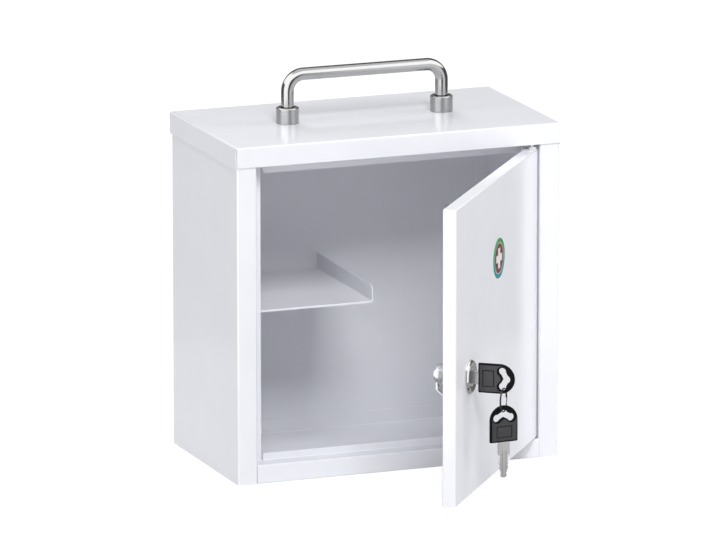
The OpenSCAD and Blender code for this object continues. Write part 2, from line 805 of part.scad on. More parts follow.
module key_bow() {
    in_lock() bow();
}

module key_ring() {
    color("dimgray") on_door() translate([lock_x, ring_y, ring_z]) rotate([90, 0, 0])
        rotate_extrude() translate([ring_r, 0]) circle(wire_r);
}

module spare_key_blade() {
    on_ring() key_metal();
}

module spare_key_bow() {
    on_ring() bow();
}

left_side();
right_side();
back_panel();
base_tray();
top_rail();
top_cover();
shelf();
handle();
handle_ferrules();
handle_washers();
handle_screws();
pivot_pins();
pivot_washers();
door_panel();
door_bumpers();
badge();
lock_housing();
lock_nut();
lock_plug();
lock_cam();
cam_screw();
key_blade();
key_bow();
key_ring();
spare_key_blade();
spare_key_bow();
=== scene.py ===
"""A small lockable medicine cabinet of white powder-coated sheet steel.

The cabinet stands on a pale studio floor with its door ajar, one key in the cam lock and a
spare key on the ring. The frame gives every size and place; this script gives the looks.
"""

import json
import logging
import math
from dataclasses import dataclass
from enum import Enum
from functools import cache
from typing import Callable, Iterable, Optional, Sequence, Union

import bmesh
import bpy
from mathutils import Matrix, Vector


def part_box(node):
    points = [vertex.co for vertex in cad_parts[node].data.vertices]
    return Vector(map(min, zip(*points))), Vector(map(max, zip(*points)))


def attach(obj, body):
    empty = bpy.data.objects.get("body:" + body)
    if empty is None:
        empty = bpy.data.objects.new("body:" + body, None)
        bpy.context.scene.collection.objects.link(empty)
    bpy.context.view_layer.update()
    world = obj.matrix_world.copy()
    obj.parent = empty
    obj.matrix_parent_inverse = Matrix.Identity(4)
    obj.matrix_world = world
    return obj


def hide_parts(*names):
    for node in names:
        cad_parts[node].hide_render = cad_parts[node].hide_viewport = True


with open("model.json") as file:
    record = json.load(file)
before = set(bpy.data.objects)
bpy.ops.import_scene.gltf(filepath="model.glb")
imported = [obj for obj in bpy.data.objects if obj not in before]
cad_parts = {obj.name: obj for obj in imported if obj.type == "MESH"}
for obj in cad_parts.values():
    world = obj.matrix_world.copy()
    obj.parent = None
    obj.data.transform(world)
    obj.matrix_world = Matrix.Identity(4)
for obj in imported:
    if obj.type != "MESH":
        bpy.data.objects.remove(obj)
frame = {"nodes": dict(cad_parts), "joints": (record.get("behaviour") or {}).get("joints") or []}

log = logging.getLogger("medicine_cabinet")
MM = 0.001
SHARP_DEGREES = 32.0
FLAT_DEGREES = 1.0
NEAR = 0.001 * MM
TINY = 0.0001 * MM
CUT_EDGE = 0.22 * MM
NOISE_RANGE = (0.3, 0.7)
Mesh = bmesh.types.BMesh
Edge = bmesh.types.BMEdge
Vert = bmesh.types.BMVert
Material = bpy.types.Material


class Body(Enum):
    """The moving groups that a piece can ride on."""

    CABINET = "cabinet"
    DOOR = "door"
    LOCK_CORE = "lock_core"
    KEY = "key"
    KEY_RING = "key_ring"
    SPARE_KEY = "spare_key"


class Grain(Enum):
    """The direction in which a metal surface was brushed."""

    UPRIGHT = (1.0, 1.0, 0.03)
    TURNED = (0.03, 0.03, 1.0)
    NONE = (1.0, 1.0, 1.001)
    ALONG = (0.03, 1.0, 1.0)


# ---- shader maths


def operator(operation: str, swapped: bool = False) -> Callable[["Wire", "Value"], "Wire"]:
    """Makes a Wire method that adds one Math node.

    Args:
        operation: The Math node's operation.
        swapped: Whether the wire comes second.

    Returns:
        The method.
    """

    def method(wire: "Wire", other: "Value" = 0.0) -> "Wire":
        """Returns the Math node's result for the wire and another value."""
        first, second = (other, wire) if swapped else (wire, other)
        return wire.shader.node("ShaderNodeMath", {"operation": operation}, {0: first, 1: second})

    return method


class Wire:
    """A shader socket that takes part in Python arithmetic."""

    def __init__(self, shader: "Shader", socket: bpy.types.NodeSocket) -> None:
        """Wraps a shader's output socket."""
        self.shader = shader
        self.socket = socket

    __add__ = operator("ADD")
    __radd__ = operator("ADD", swapped=True)
    __sub__ = operator("SUBTRACT")
    __rsub__ = operator("SUBTRACT", swapped=True)
    __mul__ = operator("MULTIPLY")
    __truediv__ = operator("DIVIDE")
    __pow__ = operator("POWER")
    __abs__ = operator("ABSOLUTE")
    less_than = operator("LESS_THAN")
    larger = operator("MAXIMUM")
    angle_from = operator("ARCTAN2")
    fraction = operator("FRACT")

    def step(self, low: float, high: float) -> "Wire":
        """Eases from 0 where the value is low to 1 where it is high."""
        return self.shader.node("ShaderNodeMapRange", {"interpolation_type": "SMOOTHSTEP"},
                                {"Value": self, "From Min": low, "From Max": high})


Value = Union[int, float, Wire]


class Shader:
    """A material's node tree, filled through one node-making method."""

    def __init__(self, name: str, world: Optional[bpy.types.World] = None) -> None:
        """Starts an empty material, or empties a world's nodes.

        Args:
            name: The material's name.
            world: The world to fill, if it isn't a material.
        """
        self.owner = world or bpy.data.materials.new(name)
        self.owner.use_nodes = True
        self.tree = self.owner.node_tree
        self.tree.nodes.clear()

    def node(self, kind: str, settings: Optional[dict] = None, values: Optional[dict] = None,
             out: Union[int, str] = 0) -> Wire:
        """Adds a node, sets it up and feeds its sockets.

        Args:
            kind: The node's type.
            settings: The node's own settings; "stops" holds a ramp's (place, colour) pairs.
            values: Numbers, colours or wires by socket name or number.
            out: The output socket to hand back.

        Returns:
            The chosen output.
        """
        made = self.tree.nodes.new(kind)
        for key, setting in (settings or {}).items():
            if key == "stops":
                ramp = made.color_ramp
                while len(ramp.elements) < len(setting):
                    ramp.elements.new(1.0)
                for element, (place, shade) in zip(ramp.elements, setting):
                    element.position = place
                    element.color = shade
            else:
                setattr(made, key, setting)
        for key, value in (values or {}).items():
            socket = made.inputs[key]
            if isinstance(value, Wire):
                self.tree.links.new(value.socket, socket)
            else:
                socket.default_value = value
        return Wire(self, made.outputs[out])

    def axes(self, space: str) -> list[Wire]:
        """Returns the X, Y and Z of a coordinate space, which is "Object" in metres or "UV"."""
        values = {"Vector": self.node("ShaderNodeTexCoord", out=space)}
        return [self.node("ShaderNodeSeparateXYZ", values=values, out=axis) for axis in range(3)]

    def ray(self, kind: str) -> Wire:
        """Returns 1 for rays of a kind, and 0 for others."""
        return self.node("ShaderNodeLightPath", out=f"Is {kind} Ray")

    def noise(self, size: float, detail: float, scale: Sequence[float] = (1, 1, 1),
              space: str = "Object") -> Wire:
        """Returns soft noise between about 0.3 and 0.7.

        Args:
            size: The distance between the noise's bumps, in metres.
            detail: How many finer layers it has.
            scale: A stretch along each axis.
            space: The coordinates that it reads.

        Returns:
            The noise value.
        """
        spot = self.node("ShaderNodeTexCoord", out=space)
        stretched = self.node("ShaderNodeMapping", values={"Vector": spot, "Scale": scale})
        values = {"Vector": stretched, "Scale": 1.0 / size, "Detail": detail}
        return self.node("ShaderNodeTexNoise", values=values, out="Fac")

    def blend(self, mask: Value, first: Union[Sequence[float], Wire],
              second: Union[Sequence[float], Wire]) -> Wire:
        """Mixes two colours, the first where the mask is 0 and the second where it is 1."""
        values = {0: mask, 6: first, 7: second}
        return self.node("ShaderNodeMix", {"data_type": "RGBA"}, values, out=2)

    def bump(self, height: Value, depth: float, below: Optional[Wire] = None) -> Wire:
        """Turns a height from 0 to 1 into a surface normal.

        Args:
            height: The height pattern.
            depth: The height's full depth in metres.
            below: The normal of a coarser bump underneath.

        Returns:
            The normal.
        """
        values = {"Height": height, "Distance": depth, "Strength": 1.0}
        if below is not None:
            values["Normal"] = below
        return self.node("ShaderNodeBump", values=values)

    def finish(self, values: dict) -> Material:
        """Closes the material with a Principled shader that takes values by socket name."""
        return self.close(self.node("ShaderNodeBsdfPrincipled", values=values))

    def close(self, surface: Wire) -> Union[Material, bpy.types.World]:
        """Sends a shader to the output.

        Args:
            surface: The shader.

        Returns:
            The material or the world.
        """
        target = "World" if isinstance(self.owner, bpy.types.World) else "Material"
        output = self.tree.nodes.new("ShaderNodeOutput" + target)
        self.tree.links.new(surface.socket, output.inputs["Surface"])
        return self.owner


def colour(red: float, green: float, blue: float) -> tuple[float, float, float, float]:
    """Returns an opaque colour."""
    return (red, green, blue, 1.0)


def scaled(base: Sequence[float], factor: float) -> tuple[float, float, float, float]:
    """Returns a colour made lighter or darker by a factor."""
    return colour(*(min(1.0, channel * factor) for channel in base[:3]))


def spread(level: float, width: float, noise: Wire) -> Wire:
    """Returns a level that noise shifts by up to half a width either way."""
    return level - width / 2 + noise * width


# ---- finishes


@dataclass(frozen=True)
class PowderCoat:
    """Gloss powder coat over folded sheet steel."""

    base: tuple = colour(0.815, 0.823, 0.868)
    roughness: float = 0.17
    peel_size: float = 2.4 * MM
    peel_depth: float = 0.004 * MM
    mottle: float = 0.01
    cloud_size: float = 38 * MM
    uneven: float = 0.06

    def build(self, name: str) -> Material:
        """Makes the material: orange peel, faint mottling and uneven gloss.

        Args:
            name: The material's name.

        Returns:
            The material.
        """
        shader = Shader(name)
        cloud = shader.noise(self.cloud_size, 3)
        peel = shader.noise(self.peel_size, 2)
        fine = shader.noise(self.peel_size / 4, 1)
        darker, lighter = scaled(self.base, 1 - self.mottle), scaled(self.base, 1 + self.mottle)
        tint = shader.blend(cloud.step(*NOISE_RANGE), darker, lighter)
        wavy = shader.bump(peel, self.peel_depth)
        return shader.finish({
            "Base Color": tint,
            "Roughness": spread(self.roughness, self.uneven, cloud),
            "Normal": shader.bump(fine, self.peel_depth / 6, wavy),
            "IOR": 1.5,
        })


@dataclass(frozen=True)
class BrushedMetal:
    """Bare or plated metal with a fine brushed grain."""

    base: tuple
    roughness: float
    grain: Grain = Grain.NONE
    grain_size: float = 0.35 * MM
    grain_depth: float = 0.003 * MM
    tarnish: float = 0.1
    scratched: float = 0.6
    cloud_size: float = 9 * MM
    uneven: float = 0.12

    def build(self, name: str) -> Material:
        """Makes the material: stretched scratches, soft cloudiness and a faint bump.

        Args:
            name: The material's name.

        Returns:
            The material.
        """
        shader = Shader(name)
        space = "UV" if self.grain is Grain.ALONG else "Object"
        scratch = shader.noise(self.grain_size, 3, self.grain.value, space)
        cloud = shader.noise(self.cloud_size, 3)
        mask = scratch.step(*NOISE_RANGE) * self.scratched + cloud * (1 - self.scratched)
        darker, lighter = scaled(self.base, 1 - self.tarnish), scaled(self.base, 1 + self.tarnish)
        return shader.finish({
            "Base Color": shader.blend(mask, darker, lighter),
            "Metallic": 1.0,
            "Roughness": spread(self.roughness, self.uneven, scratch),
            "Normal": shader.bump(scratch, self.grain_depth),
        })


@dataclass(frozen=True)
class MouldedPlastic:
    """Moulded plastic or rubber with a fine surface grain."""

    base: tuple
    roughness: float
    grain_size: float = 0.45 * MM
    grain_depth: float = 0.01 * MM
    shine: float = 0.5
    cloud_size: float = 7 * MM
    uneven: float = 0.1
    tones: tuple = (0.85, 1.2)

    def build(self, name: str) -> Material:
        """Makes the material: a pebbled skin with small changes of gloss and colour.

        Args:
            name: The material's name.

        Returns:
            The material.
        """
        shader = Shader(name)
        pebble = shader.noise(self.grain_size, 2)
        cloud = shader.noise(self.cloud_size, 2)
        darker, lighter = (scaled(self.base, tone) for tone in self.tones)
        return shader.finish({
            "Base Color": shader.blend(cloud, darker, lighter),
            "Roughness": spread(self.roughness, self.uneven, cloud),
            "Specular IOR Level": self.shine,
            "Normal": shader.bump(pebble, self.grain_depth),
        })


@dataclass(frozen=True)
class BadgeEnamel:
    """Coloured rings of enamel round a white cross, under a clear gloss.

    The distances are shares of the badge's radius.
    """

    rim_top: tuple = colour(0.05, 0.33, 0.09)
    rim_low: tuple = colour(0.02, 0.3, 0.33)
    ring: tuple = colour(0.24, 0.035, 0.04)
    middle: tuple = colour(0.15, 0.018, 0.024)
    white: tuple = colour(0.92, 0.9, 0.9)
    rim_from: float = 0.77
    ring_from: float = 0.6
    ring_to: float = 0.74
    arm_half: float = 0.18
    arm_reach: float = 0.5
    soft: float = 0.012
    speck_size: float = 0.8 * MM
    dirt: float = 0.15
    roughness: float = 0.2
    coat: float = 0.4
    uneven: float = 0.1
    rim_fade: float = 0.8

    def build(self, name: str) -> Material:
        """Makes the material from the badge's own flat coordinates.

        Args:
            name: The material's name.

        Returns:
            The material.
        """
        shader = Shader(name)
        across, up, _ = shader.axes("UV")
        out = (across * across + up * up) ** 0.5
        speck = shader.noise(self.speck_size, 2)

        def past(place: Wire, edge: float) -> Wire:
            """Returns 1 beyond an edge and 0 before it, with a soft change."""
            return place.step(edge - self.soft, edge + self.soft)

        ring = past(out, self.ring_from) * (1 - past(out, self.ring_to))
        long_arm = (1 - past(abs(across), self.arm_half)) * (1 - past(abs(up), self.arm_reach))
        wide_arm = (1 - past(abs(up), self.arm_half)) * (1 - past(abs(across), self.arm_reach))
        rim = shader.blend(up.step(-self.rim_fade, self.rim_fade), self.rim_low, self.rim_top)
        inner = shader.blend(long_arm.larger(wide_arm), self.middle, self.white)
        banded = shader.blend(past(out, self.ring_from), inner, self.white)
        banded = shader.blend(ring, banded, self.ring)
        tint = shader.blend(past(out, self.rim_from), banded, rim)
        return shader.finish({
            "Base Color": shader.blend(speck * self.dirt, tint, colour(0.0, 0.0, 0.0)),
            "Roughness": self.roughness + speck * self.uneven,
            "Coat Weight": self.coat + speck * self.uneven,
            "Coat Roughness": 0.08,
        })


Finish = Union[PowderCoat, BrushedMetal, MouldedPlastic, BadgeEnamel]
STEEL = colour(0.39, 0.39, 0.39)


class Look(Enum):
    """What pieces wear: the record's material slot, the finish and any name of its own."""

    COAT = "white_powder_coat", PowderCoat()
    ROD = ("brushed_handle_steel", BrushedMetal(STEEL, 0.14, Grain.ALONG, tarnish=0.06),
           "brushed_rod_steel")
    TURNED = ("brushed_handle_steel", BrushedMetal(STEEL, 0.22, Grain.TURNED, tarnish=0.06),
              "turned_steel")
    ZINC = "zinc_plate", BrushedMetal(colour(0.62, 0.63, 0.65), 0.3)
    NYLON = "white_nylon", MouldedPlastic(colour(0.7, 0.69, 0.65), 0.45)
    RUBBER = "grey_rubber", MouldedPlastic(colour(0.12, 0.12, 0.125), 0.7)
    ENAMEL = "badge_enamel", BadgeEnamel()
    CHROME = "lock_chrome", BrushedMetal(colour(0.72, 0.72, 0.71), 0.1, tarnish=0.02)
    NICKEL = "key_nickel", BrushedMetal(colour(0.76, 0.76, 0.77), 0.34, Grain.UPRIGHT)
    # The key bow's rim is the black plastic made darker than the grip's and given little shine.
    # This is painted shade: it stands in for the dark reflection that a gloss rim shows.
    RIM_PAINTED_DARK = ("black_plastic", MouldedPlastic(colour(0.004, 0.004, 0.005), 0.3, shine=0.08),
             "black_plastic_painted_dark_rim")
    MATT = ("black_plastic", MouldedPlastic(colour(0.03, 0.03, 0.035), 0.36, shine=0.6),
            "black_matt_plastic")
    WIRE = "ring_wire", BrushedMetal(colour(0.1, 0.1, 0.105), 0.25)

    def __init__(self, slot: str, finish: Finish, title: str = "") -> None:
        """Keeps the slot, the finish and the material's name."""
        self.slot, self.finish, self.title = slot, finish, title or slot

    @cache
    def material(self) -> Material:
        """Returns the material, which is made once."""
        return self.finish.build(self.title)


# ---- mesh making


def bevel(bm: Mesh, edges: Sequence[Edge], radius: float, segments: int,
          clamp: bool = True) -> None:
    """Rounds some edges by a width in metres."""
    bmesh.ops.bevel(bm, geom=edges, offset=radius, segments=segments, profile=0.5, affect="EDGES",
                    clamp_overlap=clamp, material=-1)


def round_edges(bm: Mesh, radius: float, segments: int = 2, angle: float = 40.0,
                least: float = 0.0) -> None:
    """Rounds the edges at which a mesh turns by more than an angle.

    Args:
        bm: The mesh.
        radius: The rounding's width in metres.
        segments: How many faces the rounding has across it.
        angle: The least turn in degrees.
        least: The length of the shortest edge to round, in metres.
    """
    limit = math.radians(angle)
    bevel(bm, [
        e for e in bm.edges
        if len(e.link_faces) == 2 and e.calc_face_angle(0) > limit and e.calc_length() > least
    ], radius, segments)


def close_up(bm: Mesh) -> None:
    """Merges a mesh's doubled points and turns its faces outwards.

    Args:
        bm: The mesh.
    """
    bmesh.ops.remove_doubles(bm, verts=bm.verts, dist=NEAR / 2)
    bmesh.ops.dissolve_degenerate(bm, edges=bm.edges, dist=TINY)
    bmesh.ops.recalc_face_normals(bm, faces=bm.faces)


def spin(bm: Mesh, geom: list, angle: float, steps: int, centre: Sequence[float] = (0, 0, 0),
         axis: Sequence[float] = (0, 0, 1), rise: Sequence[float] = (0, 0, 0),
         merge: bool = False) -> list:
    """Draws points and edges onward round an axis, or straight on.

    Args:
        bm: The mesh.
        geom: Its points and edges to draw on from.
        angle: The whole turn in radians.
        steps: How many faces the turn has.
        centre: A point on the axis.
        axis: The axis.
        rise: The move that goes with each step.
        merge: Whether a full turn closes on itself.

    Returns:
        The points and edges at the new end.
    """
    made = bmesh.ops.spin(bm, geom=geom, cent=centre, axis=axis, dvec=rise, angle=angle,
                          steps=steps, use_merge=merge, use_duplicate=False)
    return [part for part in made["geom_last"] if not isinstance(part, bmesh.types.BMFace)]


def lathe(profile: Sequence[tuple], steps: int = 72, ring: bool = False) -> Mesh:
    """Turns a profile round the Z axis.

    Args:
        profile: The profile's (radius, height) points in metres.
        steps: How many faces go round.
        ring: Whether the profile closes on itself, clear of the axis.

    Returns:
        The turned mesh.
    """
    bm = bmesh.new()
    points = [bm.verts.new((radius, 0.0, height)) for radius, height in profile]
    ends = points[1:] + points[:1] if ring else points[1:]
    edges = [bm.edges.new(pair) for pair in zip(points, ends)]
    spin(bm, points + edges, math.tau, steps, merge=True)
    close_up(bm)
    return bm


def joined(parts: Iterable[Mesh]) -> Mesh:
    """Puts several meshes into the first of them and frees the others.

    Args:
        parts: The meshes.

    Returns:
        The first mesh.
    """
    first, *others = parts
    for other in others:
        spare = bpy.data.meshes.new("spare")
        other.to_mesh(spare)
        other.free()
        first.from_mesh(spare)
        bpy.data.meshes.remove(spare)
    return first


def put(name: str, bm: Mesh, material: Material) -> bpy.types.Object:
    """Puts a mesh in the scene as an object, and frees it.

    Args:
        name: The object's name.
        bm: The mesh.
        material: Its finish.

    Returns:
        The object.
    """
    mesh = bpy.data.meshes.new(name)
    bm.to_mesh(mesh)
    bm.free()
    mesh.materials.append(material)
    thing = bpy.data.objects.new(name, mesh)
    bpy.context.scene.collection.objects.link(thing)
    return thing


class Pen:
    """Draws an outline on the XY plane as a chain of edges."""

    def __init__(self, bm: Mesh, start: tuple[float, float]) -> None:
        """Puts the pen down.

        Args:
            bm: The mesh to draw in.
            start: The outline's first point in metres.
        """
        self.bm = bm
        self.first = bm.verts.new((*start, 0.0))
        self.points = [self.first]

    def line(self, *stops: tuple[float, float]) -> "Pen":
        """Draws straight on through some points.

        Args:
            stops: The points in metres.

        Returns:
            The pen.
        """
        for stop in stops:
            point = self.bm.verts.new((*stop, 0.0))
            self.bm.edges.new((self.points[-1], point))
            self.points.append(point)
        return self

    def arc(self, centre: tuple[float, float], degrees: float, steps: int) -> "Pen":
        """Draws an arc.

        Args:
            centre: The arc's centre in metres.
            degrees: How far it turns, positive to the left.
            steps: How many edges it has.

        Returns:
            The pen.
        """
        known = set(self.bm.verts)
        spin(self.bm, [self.points[-1]], math.radians(degrees), steps, (*centre, 0.0))
        self.points += [v for v in self.bm.verts if v not in known]
        return self

    def close(self) -> list[Edge]:
        """Joins the outline's ends.

        Returns:
            The outline's edges.
        """
        if (self.points[-1].co - self.first.co).length < NEAR:
            bmesh.ops.weld_verts(self.bm, targetmap={self.points.pop(): self.first})
        else:
            self.bm.edges.new((self.points[-1], self.first))
        kept = set(self.points)
        return [e for e in self.bm.edges if e.verts[0] in kept and e.verts[1] in kept]


def plate(bm: Mesh, edges: Sequence[Edge], thickness: float,
          rounding: float, steps: int = 3) -> None:
    """Fills an outline and thickens it both ways, with quarter-round rims.

    Args:
        bm: The mesh that holds the outline.
        edges: The outline, with the outlines of any holes.
        thickness: The plate's whole thickness in metres.
        rounding: The radius of the rims in metres.
        steps: How many faces a rim has across it.
    """
    bmesh.ops.triangle_fill(bm, use_beauty=True, edges=edges, normal=(0, 0, 1))
    flat = thickness / 2 - rounding
    made = bmesh.ops.extrude_face_region(bm, geom=bm.faces[:])
    raised = [v for v in made["geom"] if isinstance(v, Vert)]
    bmesh.ops.translate(bm, verts=bm.verts, vec=(0, 0, -flat))
    bmesh.ops.translate(bm, verts=raised, vec=(0, 0, 2 * flat))
    bmesh.ops.recalc_face_normals(bm, faces=bm.faces)
    for side in (-1, 1):
        faces = [f for f in bm.faces if f.normal.z * side > 0.9]
        reach = (0.0, 0.0)
        for step in range(1, steps + 1):
            angle = math.pi / 2 * step / steps
            stop = (rounding * (1 - math.cos(angle)), rounding * math.sin(angle))
            bmesh.ops.inset_region(
                bm, faces=faces, thickness=stop[0] - reach[0], depth=stop[1] - reach[1],
                use_boundary=True, use_even_offset=True,
            )
            reach = stop


class Piece:
    """One finished mesh on its way into the scene."""

    def __init__(self, name: str, body: Body, look: Look) -> None:
        """Notes the name, the body to ride on, and the slot and finish."""
        self.name, self.body, self.look = name, body, look

    def add(self, bm: Mesh, node: str, place: Optional[Matrix] = None) -> None:
        """Puts a mesh in the scene as this piece.

        Args:
            bm: The mesh; it is freed.
            node: The frame's node that the piece stands for.
            place: Where the mesh's own frame lies in the part's frame.
        """
        if place is not None:
            bmesh.ops.transform(bm, matrix=place, verts=bm.verts)
        thing = put(self.name, bm, self.look.material())
        thing.data.shade_smooth()
        thing.data.set_sharp_from_angle(angle=math.radians(SHARP_DEGREES))
        thing.modifiers.new("even_shading", "WEIGHTED_NORMAL").keep_sharp = True
        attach(thing, self.body.value)
        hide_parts(node)
        log.info("%s: %d faces, on %s", self.name, len(thing.data.polygons), self.body.value)

    def soften(self, node: str, radius: float, segments: int = 2, least: float = 0.0) -> None:
        """Adds this piece as a frame node's own shape with rounded edges.

        Args:
            node: The node that the piece stands for.
            radius: The rounding's width in metres.
            segments: How many faces the rounding has across it.
            least: The length of the shortest edge to round, in metres.
        """
        bm = bmesh.new()
        bm.from_mesh(frame["nodes"][node].data)
        bmesh.ops.remove_doubles(bm, verts=bm.verts, dist=NEAR)
        bmesh.ops.dissolve_limit(bm, angle_limit=math.radians(FLAT_DEGREES), verts=bm.verts,
                                 edges=bm.edges)
        round_edges(bm, radius, segments, least=least)
        self.add(bm, node)


# ---- places


def turned(degrees: float, axis: str) -> Matrix:
    """Returns a turn by an angle in degrees round an axis."""
    return Matrix.Rotation(math.radians(degrees), 4, axis)


class Places:
    """The frames that the door's fittings are made in, worked out from the joints."""

    def __init__(self) -> None:
        """Reads the joints."""
        joints = {joint["name"]: joint for joint in frame["joints"]}
        hinge, lock = joints["door_hinge"], joints["lock_turn"]
        self.open_angle = -hinge["range_deg"][0]
        self.turn = turned(self.open_angle, "Z")
        self.lock = Matrix.Translation(lock["pos_m"]) @ self.turn
        self.swing = Vector(joints["spare_key_swing"]["pos_m"])

    @staticmethod
    def middle(node: str) -> Vector:
        """Returns the middle of a node's box."""
        low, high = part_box(node)
        return (low + high) / 2

    def facing(self, node: str) -> Matrix:
        """Returns the frame in a door fitting's middle, with Z out from the door's face."""
        return Matrix.Translation(self.middle(node)) @ self.turn @ turned(90, "X")

    def key_in_lock(self, stand: float = 6.8 * MM) -> Matrix:
        """Returns the frame of a key whose bow stands before the lock by a distance in metres."""
        return self.lock @ Matrix.Translation((0, -stand, 0)) @ turned(-90, "Z") @ turned(90, "X")

    def spare_key(self, twist: float = 41) -> Matrix:
        """Works out where the key that hangs on the ring lies.

        Args:
            twist: Its turn from the door's own in degrees.

        Returns:
            The key's frame.
        """
        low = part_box("spare_key_bow")[0]
        foot = Matrix.Translation((self.swing.x, self.swing.y, low.z))
        return foot @ turned(self.open_angle + twist, "Z") @ turned(-90, "Y")


# ---- sub-assemblies


@dataclass
class Casing:
    """The folded steel sheets of the cabinet's body."""

    cut_edge: float = CUT_EDGE
    sheets: tuple = (
        "left_side", "right_side", "back_panel", "base_tray", "top_rail", "top_cover", "shelf")

    def build(self) -> None:
        """Makes every sheet."""
        for node in self.sheets:
            Piece(node + "_sheet", Body.CABINET, Look.COAT).soften(node, self.cut_edge, 3)


@dataclass
class CarryHandle:
    """The bent rod on the cover, its ferrules and what holds them.

    Attributes:
        bend: The radius of the rod's bends, to its centre line.
        bore: The radius of the threaded hole in each leg; bore_deep is its depth.
        bore_edge: The bevel of the hole and of the leg's end.
        facets: How many faces go round the rod; bend_steps is how many go along a bend.
    """

    bend: float = 13 * MM
    bore: float = 2.5 * MM
    bore_deep: float = 15 * MM
    bore_edge: float = 0.3 * MM
    facets: int = 48
    bend_steps: int = 20
    wall: float = 2.2 * MM
    recess: float = 2 * MM
    chamfer: float = 0.8 * MM
    slack: float = 0.05 * MM
    soft: float = 0.25 * MM

    def __post_init__(self) -> None:
        """Works out the rod's sizes from its node."""
        low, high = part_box("handle")
        self.rod = high.y
        self.foot = low.z
        self.half_span = high.x - self.rod
        self.bend_z = high.z - self.rod - self.bend
        self.half_run = self.half_span - self.bend

    def build(self) -> None:
        """Makes the handle's pieces."""
        self._rod()
        self._ferrules()
        for node, edge in (("handle_washers", 0.2 * MM), ("handle_screws", 0.25 * MM)):
            Piece(node + "_plated", Body.CABINET, Look.ZINC).soften(node, edge)

    def _along(self, point: Vector) -> float:
        """Measures how far a point lies along the rod.

        Args:
            point: A point of the rod.

        Returns:
            The distance from the rod's middle in metres.
        """
        out = abs(point.x) - self.half_run
        up = point.z - self.bend_z
        if out <= 0 and up > 0:
            reach = abs(point.x)
        elif up > 0:
            reach = self.half_run + self.bend * math.atan2(out, up)
        else:
            reach = self.half_run + self.bend * math.pi / 2 - up
        return math.copysign(reach, point.x)

    def _rod(self) -> None:
        """Makes the rod: a circle drawn up a leg, round both bends and down again."""
        bm = bmesh.new()
        round_by = bm.verts.layers.float.new("round_by")
        base = Matrix.Translation((-self.half_span, 0, self.foot))
        bmesh.ops.create_circle(bm, segments=self.facets, radius=self.rod, matrix=base)
        for index, point in enumerate(bm.verts):
            point[round_by] = index / self.facets
        section = bm.verts[:] + bm.edges[:]
        leg = self.bend_z - self.foot
        for rise, side in (((0, 0, leg), -1), ((2 * self.half_run, 0, 0), 1)):
            centre = (side * self.half_run, 0, self.bend_z)
            section = spin(bm, section, 0, 1, rise=rise)
            section = spin(bm, section, math.pi / 2, self.bend_steps, centre, (0, 1, 0))
        spin(bm, section, 0, 1, rise=(0, 0, -leg))
        self._bore_ends(bm)
        bmesh.ops.recalc_face_normals(bm, faces=bm.faces)
        self._lay_grain(bm, round_by)
        Piece("handle_rod", Body.CABINET, Look.ROD).add(bm, "handle")

    def _bore_ends(self, bm: Mesh) -> None:
        """Closes both ends of the rod round a threaded hole.

        Args:
            bm: The rod.
        """
        open_edges = [e for e in bm.edges if e.is_boundary]
        ends = bmesh.ops.holes_fill(bm, edges=open_edges, sides=0)["faces"]
        for end in ends:
            bmesh.ops.inset_region(bm, faces=[end], thickness=self.rod - self.bore,
                                   use_even_offset=True)
            made = bmesh.ops.extrude_discrete_faces(bm, faces=[end])["faces"]
            bmesh.ops.translate(bm, verts=made[0].verts, vec=(0, 0, self.bore_deep))
        sharp = [e for e in bm.edges if e.calc_face_angle(0) > 1.0]
        bevel(bm, sharp, self.bore_edge, 2, clamp=False)

    def _lay_grain(self, bm: Mesh, round_by: bmesh.types.BMLayerItem) -> None:
        """Lays the rod's flat coordinates: along it, and round it.

        Args:
            bm: The rod.
            round_by: The layer that holds each point's share of the way round.
        """
        flat = bm.loops.layers.uv.new("grain")
        girth = math.tau * self.rod
        for face in bm.faces:
            shares = [loop.vert[round_by] for loop in face.loops]
            for loop, share in zip(face.loops, shares):
                unwrapped = share + 1 if max(shares) - share > 0.5 else share
                loop[flat].uv = (self._along(loop.vert.co), unwrapped * girth)

    def _ferrules(self) -> None:
        """Makes the two turned ferrules."""
        low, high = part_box("handle_ferrules")
        radius, height = high.y, high.z - low.z
        inner = self.rod + self.slack
        profile = [
            (inner, 0), (radius, 0), (radius, height - self.chamfer),
            (radius - self.chamfer, height), (radius - self.wall, height),
            (radius - self.wall, height - self.recess), (inner, height - self.recess),
        ]
        both = []
        for side in (-1, 1):
            ferrule = lathe(profile, ring=True)
            round_edges(ferrule, self.soft, 3, 30)
            bmesh.ops.translate(ferrule, verts=ferrule.verts, vec=(side * self.half_span, 0, low.z))
            both.append(ferrule)
        piece = Piece("handle_ferrules_turned", Body.CABINET, Look.TURNED)
        piece.add(joined(both), "handle_ferrules")


